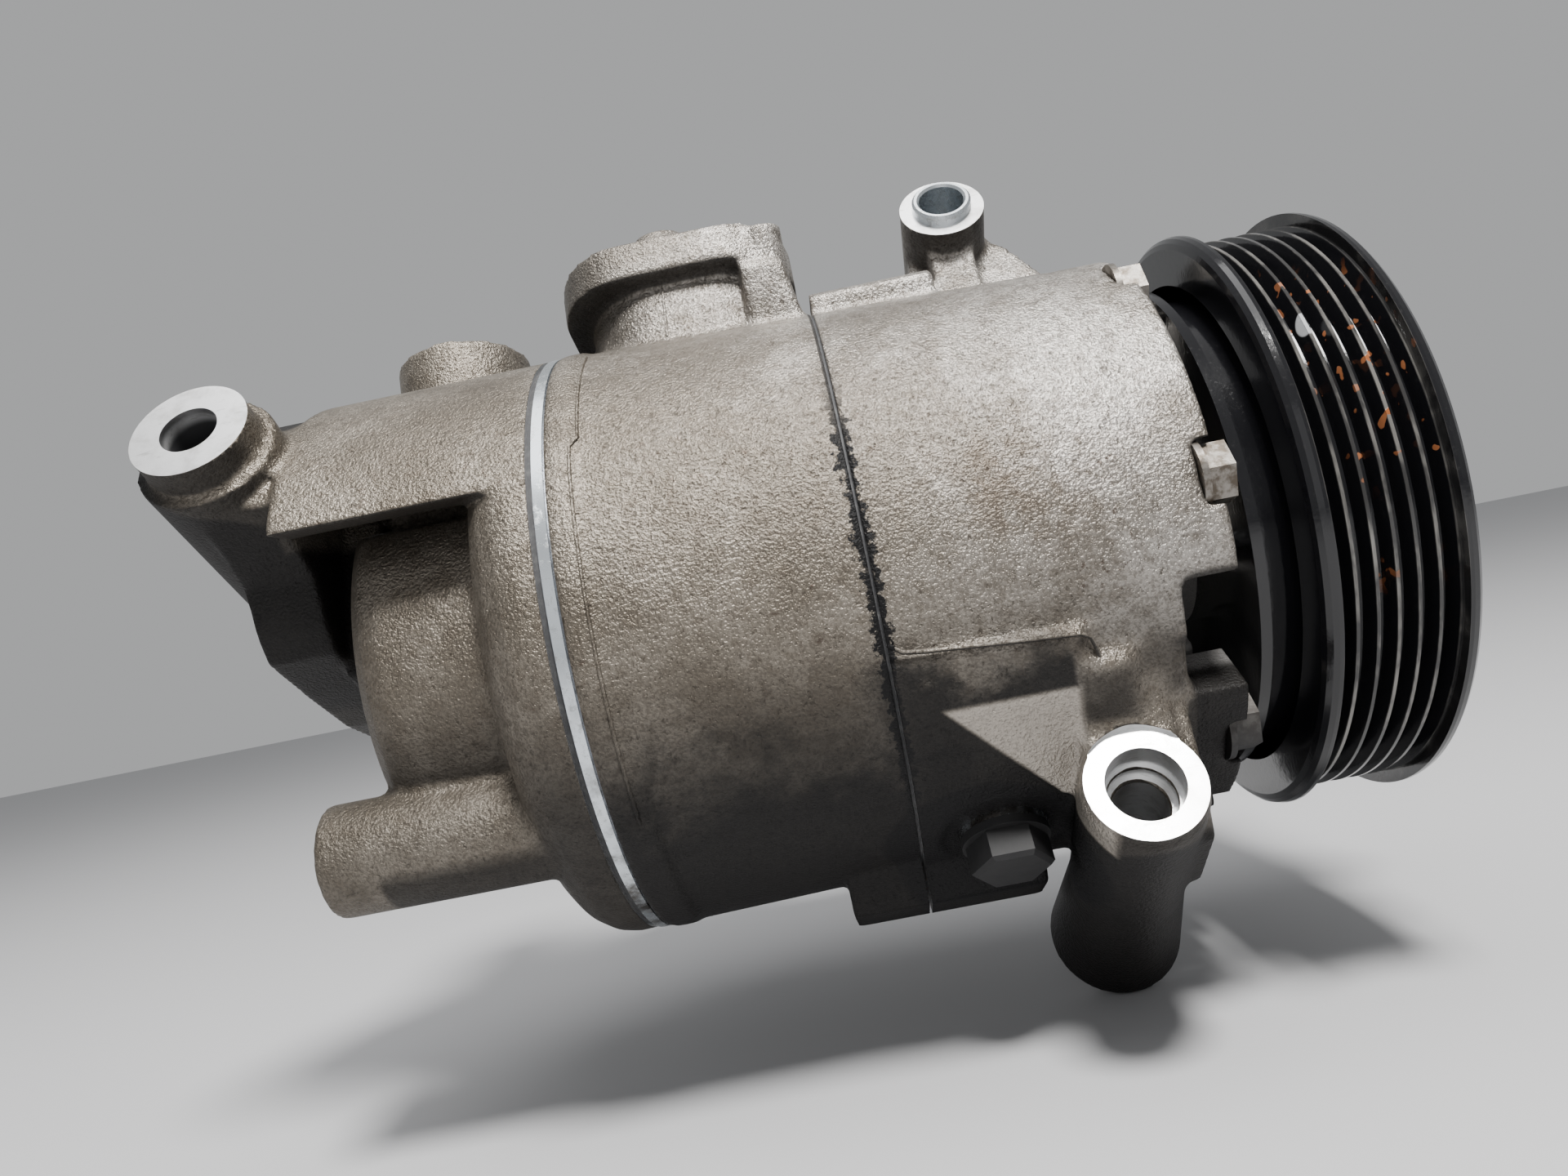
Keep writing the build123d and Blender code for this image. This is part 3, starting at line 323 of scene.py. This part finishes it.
def painted_hollow_shadow(s, boss):
    """Painted shadow in the hollow under the rear head's shelf and ear, on the near side and off the valve
    boss.
    """
    shelf_shadow = s.product(s.step(s.x, -186.5, -190.5), s.step(s.z, 33.0, 28.0))
    slope = s.math("ADD", s.bolt_height(), s.product(s.x, 0.5))
    ear_shadow = s.product(s.step(s.x, -190.0, -196.0), s.step(slope, -36.0, -44.0))
    return s.product(s.highest(shelf_shadow, ear_shadow), s.outside(boss), s.step(s.y, 10.0, -12.0), 0.97)


def seam_grease(s):
    """A black line along the seam, wide and ragged on the near side below the top."""
    distance = s.math("ABSOLUTE", s.math("SUBTRACT", s.x, SEAM_X))
    edge = s.ragged(distance, s.noise(1.9, 4.0, 0.7), 7.0)
    wide = s.product(s.step(edge, 1.7, 1.1), s.step(s.z, 44.0, 26.0), s.step(s.y, 20.0, -10.0))
    return s.highest(wide, s.product(s.step(distance, 0.75, 0.5), 0.9))


def oil_and_painted_shade(s, triangle):
    """Everywhere that the casting is blackened: oil and grease, the bottom of the lower ear's sleeve, and
    painted shade on the lower half, on faces turned down and in the hollow under the rear head.
    """
    boss = s.near(VALVE_BOSS, 13.0, 15.0)
    # Painted shade on every face that turns downwards.
    painted_underside_shade = s.product(s.step(s.up, 0.10, -0.55), s.outside(s.highest(boss, triangle)), 0.85)
    sleeve = s.product(s.step(s.z, -62.0, -72.0), s.step(s.x, -70.0, -62.0), 0.97)
    wiped = s.highest(triangle, wiped_column(s))
    return s.highest(low_oil_and_shade(s, wiped), painted_underside_shade, sleeve, painted_hollow_shadow(s, boss), seam_grease(s))


def cast_aluminium():
    """Blasted cast aluminium, warm and dull, black with oil and painted shade towards the bottom and
    underneath, and black at the seam.
    """
    s = Shader("cast_aluminium")
    grain = s.noise(0.58, 2.0, 0.6)
    coarse = s.noise(2.4, 4.0, 0.65)
    pits = s.step(s.noise(1.1, 3.0, 0.65), 0.57, 0.70)
    triangle = wiped_triangle(s)
    # Black of oil and of painted shade, laid over the skin.
    oil_and_shade_mask = oil_and_painted_shade(s, triangle)
    inside = s.product(s.step(s.radius(), 53.0, 50.0), s.step(s.x, -150.0, -144.0))
    colour = s.coats(
        cast_skin(s, grain, coarse, pits),
        (triangle, 0.5, WIPED_PALE),
        (oil_and_shade_mask, 1.0, OIL_AND_SHADE_BLACK),
        (inside, 0.5, PALE_INSIDE),
    )
    height = s.math("SUBTRACT", coarse, s.product(pits, 0.5))
    return s.set(
        Base_Color=colour,
        Metallic=s.blend(oil_and_shade_mask, 0.78, 0.0),
        Roughness=s.blend(oil_and_shade_mask, s.blend(grain, 0.30, 0.48), 0.52),
        Normal=s.bump(height, 0.24, 0.6, below=s.bump(grain, 0.42)),
        Specular_IOR_Level=0.18,
    )


# --- other materials --------------------------------------------------------------------------------

TURNED_BRIGHT, TURNED_SMEARED, SCRATCH = (0.84, 0.84, 0.84), (0.60, 0.59, 0.58), (0.36, 0.35, 0.34)
# The black painted as shade inside the rear ear's bore.
BORE_SHADE_BLACK = (0.006, 0.006, 0.008)
PAINT_BLACK, PAINT_DUSTY = (0.005, 0.005, 0.006), (0.030, 0.029, 0.028)
BARE_RIB, RUST, CHIP_GREY = (0.34, 0.325, 0.30), (0.27, 0.085, 0.022), (0.45, 0.46, 0.47)
ZINC, ZINC_SPOT, ZINC_DIRT = (0.62, 0.66, 0.69), (0.36, 0.37, 0.37), (0.10, 0.09, 0.08)
# The last black is of oil and of painted shade at the bottom.
OILED_STEEL, OILED_DARK, OILED_AND_SHADED_BLACK = (0.22, 0.205, 0.185), (0.085, 0.07, 0.055), (0.005, 0.005, 0.006)


def machined_aluminium():
    """Freshly turned aluminium of the mounting faces and bores; the rear ear's bore is painted black inside
    as shade.
    """
    s = Shader("machined_aluminium")
    turning = s.noise(0.5, 3.0, 0.6, stretch=(1.0, 6.0, 6.0))
    smear = s.step(s.noise(5.0, 4.0, 0.6), 0.45, 0.75)
    scratches = s.step(s.noise(2.2, 4.0, 0.7, stretch=(0.35, 2.4, 1.2)), 0.60, 0.68)
    height = s.bolt_height()
    mouth = REAR_EAR[2]
    in_bore = s.product(s.step(height, mouth - 0.6, mouth - 4.0), s.step(height, 20.0, 21.0))
    # Painted shade: the deep part of the rear ear's bore is coloured black.
    bore_shade = s.product(in_bore, s.step(s.x, -150.0, -160.0))
    colour = s.coats(
        s.mix(smear, TURNED_BRIGHT, TURNED_SMEARED),
        (scratches, 0.45, SCRATCH),
        (bore_shade, 0.97, BORE_SHADE_BLACK),
    )
    return s.set(
        Base_Color=colour,
        Metallic=s.blend(bore_shade, 1.0, 0.1),
        Roughness=s.blend(bore_shade, s.blend(turning, 0.22, 0.40), 0.6),
        Normal=s.bump(turning, 0.03, 0.6),
    )


def pulley_paint():
    """Gloss black paint, worn on the rib crests, with rust specks between them."""
    s = Shader("pulley_paint")
    off_middle = s.math("ABSOLUTE", s.x)
    belt = s.step(off_middle, BELT_HALF_WIDTH, BELT_HALF_WIDTH - 0.5)
    crest = s.product(s.step(s.radius(), RIB_CREST_RADIUS - 0.2, RIB_CREST_RADIUS), belt)
    wear = s.step(s.noise(8.0, 4.0, 0.7, stretch=(1.6, 0.4, 0.4)), 0.44, 0.66)
    bare = s.product(crest, s.blend(wear, 0.06, 0.55))
    specks = s.step(s.noise(3.4, 1.5, 0.5), 0.640, 0.665)
    patches = s.step(s.noise(21.0, 2.0, 0.5), 0.44, 0.54)
    off_rust = s.math("ABSOLUTE", s.math("SUBTRACT", s.z, 14.0))
    rusty_side = s.product(s.step(s.x, -8.0, -3.0), s.step(off_rust, 34.0, 22.0))
    rust = s.product(specks, patches, rusty_side, belt)
    dust = s.step(s.noise(0.9, 4.0, 0.7), 0.55, 0.8)
    colour = s.coats(
        s.mix(s.product(dust, 0.3), PAINT_BLACK, PAINT_DUSTY),
        (bare, 1.0, BARE_RIB),
        (rust, 1.0, RUST),
        (s.near(PAINT_CHIP, 2.2, 2.6), 1.0, CHIP_GREY),
    )
    height = s.math("ADD", s.product(rust, 0.8), s.product(s.noise(1.1), 0.6))
    return s.set(
        Base_Color=colour,
        Metallic=s.product(bare, 0.9),
        Roughness=s.blend(rust, s.blend(bare, s.blend(dust, 0.12, 0.26), 0.32), 0.85),
        Normal=s.bump(height, 0.07, 0.5),
    )


def zinc_steel():
    """Bluish zinc-plated steel with small dull spots, dirty towards the bottom."""
    s = Shader("zinc_steel")
    spots = s.step(s.noise(2.2, 5.0, 0.7), 0.50, 0.70)
    dirt = s.product(s.step(s.noise(9.0, 4.0, 0.6), 0.42, 0.62), s.step(s.z, 10.0, -50.0))
    return s.set(
        Base_Color=s.coats(s.mix(spots, ZINC, ZINC_SPOT), (dirt, 1.0, ZINC_DIRT)),
        Metallic=0.95,
        Roughness=s.blend(spots, 0.26, 0.48),
        Normal=s.bump(spots, 0.04, 0.5),
    )


def plain_metal(name, colour, dark, roughness, size=3.0):
    """A metal with a soft, uneven finish."""
    s = Shader(name)
    uneven = s.noise(size, 4.0, 0.6)
    return s.set(
        Base_Color=s.mix(s.step(uneven, 0.42, 0.68), colour, dark),
        Metallic=0.95,
        Roughness=s.blend(uneven, roughness, roughness + 0.18),
        Normal=s.bump(s.noise(0.6), 0.04, 0.6),
    )


def oily_steel():
    """Dark oiled steel of the bolts and the drain plug, black with oil and painted shade at the bottom."""
    s = Shader("oily_steel")
    uneven = s.noise(2.4, 5.0, 0.65)
    # Oil and painted shade: black towards the bottom.
    low = s.step(s.z, -18.0, -44.0)
    colour = s.mix(s.step(uneven, 0.40, 0.64), OILED_STEEL, OILED_DARK)
    return s.set(
        Base_Color=s.coats(colour, (low, 0.98, OILED_AND_SHADED_BLACK)),
        Metallic=s.blend(low, 0.85, 0.1),
        Roughness=s.blend(low, s.blend(uneven, 0.28, 0.52), 0.62),
        Normal=s.bump(uneven, 0.10, 0.6),
    )


def dull(name, colour, lighter, roughness):
    """Rubber, gasket or plastic."""
    s = Shader(name)
    return s.set(
        Base_Color=s.mix(s.step(s.noise(2.0, 4.0, 0.6), 0.45, 0.75), colour, lighter),
        Metallic=0.0,
        Roughness=roughness,
        Normal=s.bump(s.noise(0.7), 0.05, 0.6),
    )


def make_materials():
    """One material for each of the record's slots."""
    return {
        "cast_aluminium": cast_aluminium(),
        "machined": machined_aluminium(),
        "pulley_paint": pulley_paint(),
        "zinc_steel": zinc_steel(),
        "bolt_steel": oily_steel(),
        "spring_steel": plain_metal("spring_steel", (0.33, 0.34, 0.37), (0.18, 0.18, 0.19), 0.30),
        "bearing_steel": plain_metal("bearing_steel", (0.62, 0.63, 0.64), (0.45, 0.45, 0.45), 0.18),
        "shaft_steel": plain_metal("shaft_steel", (0.40, 0.40, 0.41), (0.31, 0.31, 0.31), 0.28, 1.6),
        "valve_brass": plain_metal("valve_brass", (0.62, 0.47, 0.22), (0.40, 0.29, 0.13), 0.30),
        "bronze_coat": plain_metal("bronze_coat", (0.50, 0.34, 0.20), (0.34, 0.22, 0.13), 0.36),
        "piston_aluminium": plain_metal("piston_aluminium", (0.70, 0.70, 0.70), (0.52, 0.52, 0.52), 0.30),
        "gasket": dull("gasket", (0.030, 0.030, 0.032), (0.07, 0.07, 0.07), 0.70),
        "seal_rubber": dull("seal_rubber", (0.016, 0.016, 0.017), (0.05, 0.05, 0.05), 0.62),
        "black_plastic": dull("black_plastic", (0.018, 0.018, 0.020), (0.05, 0.05, 0.05), 0.45),
    }


materials = make_materials()


def paint_nodes():
    """Every CAD node gets the material of its slot in the record."""
    slot_of = {part["node"]: part["material_slot"] for part in frame["record"]["subparts"]}
    for name, node in frame["nodes"].items():
        node.data.materials.clear()
        node.data.materials.append(materials[slot_of[name]])


# --- cast pieces ------------------------------------------------------------------------------------

ROUNDING_STEPS = 4
FILLET_STEPS = 45
SMOOTH_FACTOR = 0.5
EXTRA_STOCK = 3.0
CUT_ABOVE = 8.0
ABOVE_EAR = 2.0
FACE_TOLERANCE = 0.02
SAME_POINT = 1e-6
WHOLE_FACE = 90.0
CUTTER_SIDES = 96
LOWER_FACE_RADIUS, TOP_FACE_RADIUS, REAR_FACE_RADIUS = 10.6, 12.0, 13.0

# The lower ear's stepped bore: depth from above the face, radius.
LOWER_BORE = ((8.0, 6.77), (11.0, 6.02), (90.0, 5.02))
REAR_BORE = (50.0, 5.52)

# Hollows beside the drain pad with wide fillets: middle, radius.
PAD_FILLETS = (((-48, -56, -20), 9.0), ((-40, -52, -24), 7.0))


def ear_point(x, across, height):
    """A point of the ears' own frame, in metres."""
    return (ALONG * x + ACROSS * across + BOLT_WAY * height) * MM


def flat_face(x, way):
    """The machined face that spans a casting at x: middle, outward direction, radius."""
    return ALONG * x * MM, way, WHOLE_FACE * MM


def ear_face(ear, radius):
    """An ear's machined face: middle, outward direction, radius."""
    return ear_point(*ear), BOLT_WAY, radius * MM


def ear_bore(ear, depth, radius):
    """A bore down an ear, from above its face: start, direction, depth, radius."""
    x, across, height = ear
    return ear_point(x, across, height + ABOVE_EAR), -BOLT_WAY, depth * MM, radius * MM


def drill(start, way, depth, radius):
    """A round cutter."""
    mesh = bpy.data.meshes.new("cutter")
    bm = bmesh.new()
    bmesh.ops.create_cone(
        bm, cap_ends=True, segments=CUTTER_SIDES, radius1=radius, radius2=radius, depth=depth
    )
    turn = way.to_track_quat("Z", "Y").to_matrix().to_4x4()
    bmesh.ops.transform(bm, verts=bm.verts, matrix=Matrix.Translation(start + way * depth / 2) @ turn)
    bm.to_mesh(mesh)
    bm.free()
    return new_object("cutter", mesh)


def add_modifier(piece, kind, **settings):
    """Adds a modifier; nothing is applied yet."""
    made = piece.modifiers.new(kind.lower(), kind)
    for name, value in settings.items():
        setattr(made, name, value)


def apply_modifiers(piece):
    """Gives the object the mesh that its modifiers make, and drops them."""
    depsgraph = bpy.context.evaluated_depsgraph_get()
    mesh = bpy.data.meshes.new_from_object(piece.evaluated_get(depsgraph))
    piece.modifiers.clear()
    piece.data = mesh


def stock_mesh(node, faces):
    """A copy of a node's mesh with extra stock on its machined faces."""
    mesh = frame["nodes"][node].data.copy()
    bm = bmesh.new()
    bm.from_mesh(mesh)
    bmesh.ops.remove_doubles(bm, verts=bm.verts, dist=SAME_POINT)
    for point, way, radius in faces:
        for v in bm.verts:
            off = v.co - point
            if abs(off.dot(way)) < FACE_TOLERANCE * MM and (off - way * off.dot(way)).length < radius:
                v.co += way * EXTRA_STOCK * MM
    bm.to_mesh(mesh)
    bm.free()
    return mesh


def round_off(piece, voxel):
    """Rounds all the edges, as in a casting."""
    add_modifier(piece, "REMESH", mode="VOXEL", voxel_size=voxel * MM, use_smooth_shade=True)
    add_modifier(piece, "SMOOTH", factor=SMOOTH_FACTOR, iterations=ROUNDING_STEPS)
    apply_modifiers(piece)


def soften(piece, spots):
    """Widens the fillets at some spots, given as middle and radius in millimetres."""
    fillet = piece.vertex_groups.new(name="fillet")
    for place, radius in spots:
        middle = Vector(place) * MM
        near = [v.index for v in piece.data.vertices if (v.co - middle).length < radius * MM]
        fillet.add(near, 1.0, "ADD")
    add_modifier(piece, "SMOOTH", factor=SMOOTH_FACTOR, iterations=FILLET_STEPS, vertex_group=fillet.name)
    apply_modifiers(piece)
    piece.vertex_groups.clear()


def machine(piece, cutters):
    """Cuts the machined faces and bores; the cuts keep the cutters' bright material."""
    for cutter in cutters:
        cutter.data.materials.append(materials["machined"])
        add_modifier(
            piece, "BOOLEAN",
            operation="DIFFERENCE", solver="MANIFOLD", object=cutter, material_mode="TRANSFER",
        )
        apply_modifiers(piece)
        bpy.data.objects.remove(cutter)


def casting(node, faces, bores, voxel, soft_spots=()):
    """Replaces a CAD node by a copy with rounded cast edges, and crisp machined faces and bores."""
    piece = new_object(node + "_cast", stock_mesh(node, faces))
    round_off(piece, voxel)
    if soft_spots:
        soften(piece, soft_spots)
    piece.data.materials.clear()
    piece.data.materials.append(materials["cast_aluminium"])
    facing = [drill(point, way, CUT_ABOVE * MM, radius) for point, way, radius in faces]
    machine(piece, facing + [drill(*bore) for bore in bores])
    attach(piece, "root")
    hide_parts(node)


def make_castings():
    """The two body halves and the rear head."""
    casting(
        "front_housing",
        [
            flat_face(HOUSING_REAR_X, -ALONG),
            ear_face(LOWER_EAR, LOWER_FACE_RADIUS),
            ear_face(TOP_EAR, TOP_FACE_RADIUS),
        ],
        [ear_bore(LOWER_EAR, *step) for step in LOWER_BORE],
        voxel=0.85,
        soft_spots=PAD_FILLETS,
    )
    casting(
        "cylinder_block",
        [flat_face(BLOCK_FRONT_X, ALONG), flat_face(BLOCK_REAR_X, -ALONG)],
        [],
        voxel=0.9,
    )
    casting(
        "rear_head",
        [flat_face(HEAD_FRONT_X, ALONG), ear_face(REAR_EAR, REAR_FACE_RADIUS)],
        [ear_bore(REAR_EAR, *REAR_BORE)],
        voxel=0.85,
    )


# --- mould lines ------------------------------------------------------------------------------------

# Points of the lines: x in millimetres, angle round the shaft in degrees, radius in millimetres.
PARTING_EDGE = (
    (-86.9, 189.0, 61.7), (-84.6, 190.6, 61.7), (-81.2, 191.1, 61.7), (-71.6, 191.9, 61.7),
    (-62.0, 192.7, 61.7), (-54.6, 193.3, 61.4), (-53.0, 194.2, 61.1), (-52.2, 196.6, 60.8),
    (-51.6, 200.0, 60.4), (-50.6, 204.1, 60.0),
)
NECK_PARTING = ((-116.7, 98.0, 74.6), (-116.9, 100.5, 71.3), (-117.4, 105.4, 62.4))
ARC_STEP = 1.5


def bead(name, points, thick):
    """A thin raised line of the mould, through (x, angle, radius) points; thick is its radius."""
    data = bpy.data.curves.new(name, "CURVE")
    data.dimensions = "3D"
    data.bevel_depth = thick * MM
    data.bevel_resolution = 2
    data.use_fill_caps = True
    line = data.splines.new("POLY")
    line.points.add(len(points) - 1)
    for spot, (x, angle, radius) in zip(line.points, points):
        turn = math.radians(angle)
        spot.co = (x * MM, radius * math.cos(turn) * MM, radius * math.sin(turn) * MM, 1.0)
    curve = new_object(name, data)
    piece = new_object(name, bpy.data.meshes.new_from_object(curve))
    bpy.data.objects.remove(curve)
    piece.data.polygons.foreach_set("use_smooth", [True] * len(piece.data.polygons))
    piece.data.materials.clear()
    piece.data.materials.append(materials["cast_aluminium"])
    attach(piece, "root")


def arc(x, start, end, radius):
    """Points round the shaft, a degree or so apart."""
    count = int(abs(end - start) / ARC_STEP) + 2
    return [(x, start + (end - start) * n / (count - 1), radius) for n in range(count)]


def make_beads():
    """The parting edges over the lower ear and on the neck, and the steps beside the valve plate."""
    bead("parting_edge", PARTING_EDGE, 0.42)
    bead("neck_parting", NECK_PARTING, 0.34)
    bead("plate_step_top", arc(-133.8, 112, 143, 62.1) + arc(-135.3, 145, 147, 62.4), 0.34)
    bead("plate_step", arc(-135.4, 147, 232, 62.5), 0.36)


# --- stage, in metres -------------------------------------------------------------------------------

FLOOR_REACH = 3.0
FLOOR_MIDDLE = -0.09
FLOOR_GAP = 0.0002
SKY_COLOUR = (0.88, 0.89, 0.90, 1.0)
SKY_STRENGTH = 0.48
KEY_COLOUR = (1.0, 0.99, 0.97)
WHITE = (1.0, 1.0, 1.0)
FLOOR_GREY = (0.50, 0.50, 0.51)


def area_light(name, at, aim, size, power, colour=WHITE):
    """A round lamp at one place that points to another."""
    data = bpy.data.lights.new(name, "AREA")
    data.shape = "DISK"
    data.size = size
    data.energy = power
    data.color = colour
    light = new_object(name, data)
    light.location = at
    light.rotation_mode = "QUATERNION"
    light.rotation_quaternion = (Vector(aim) - Vector(at)).to_track_quat("-Z", "Y")


def make_floor():
    """A plain pale floor just under the part."""
    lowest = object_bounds()[0].z
    mesh = bpy.data.meshes.new("floor")
    bm = bmesh.new()
    bmesh.ops.create_grid(bm, x_segments=1, y_segments=1, size=FLOOR_REACH)
    bm.to_mesh(mesh)
    bm.free()
    floor = new_object("floor", mesh)
    floor.location = (FLOOR_MIDDLE, 0.0, lowest - FLOOR_GAP)
    floor.data.materials.append(Shader("floor").set(Base_Color=FLOOR_GREY, Roughness=0.7))


def make_light():
    """Soft light from above, a weak lamp behind the camera and a pale sky."""
    area_light("key", (0.05, -0.47, 0.85), (-0.07, 0.0, 0.0), size=0.24, power=22.0, colour=KEY_COLOUR)
    area_light("top", (-0.25, -0.05, 0.95), (-0.12, 0.0, 0.0), size=0.8, power=5.0)
    area_light("front", (-0.2, -1.3, 0.35), (-0.09, 0.0, 0.0), size=0.9, power=1.0)
    world = bpy.data.worlds.new("world")
    world.use_nodes = True
    background = world.node_tree.nodes["Background"]
    background.inputs["Color"].default_value = SKY_COLOUR
    background.inputs["Strength"].default_value = SKY_STRENGTH
    bpy.context.scene.world = world


# --- the scene --------------------------------------------------------------------------------------

make_camera()
paint_nodes()
make_castings()
make_beads()
make_floor()
make_light()
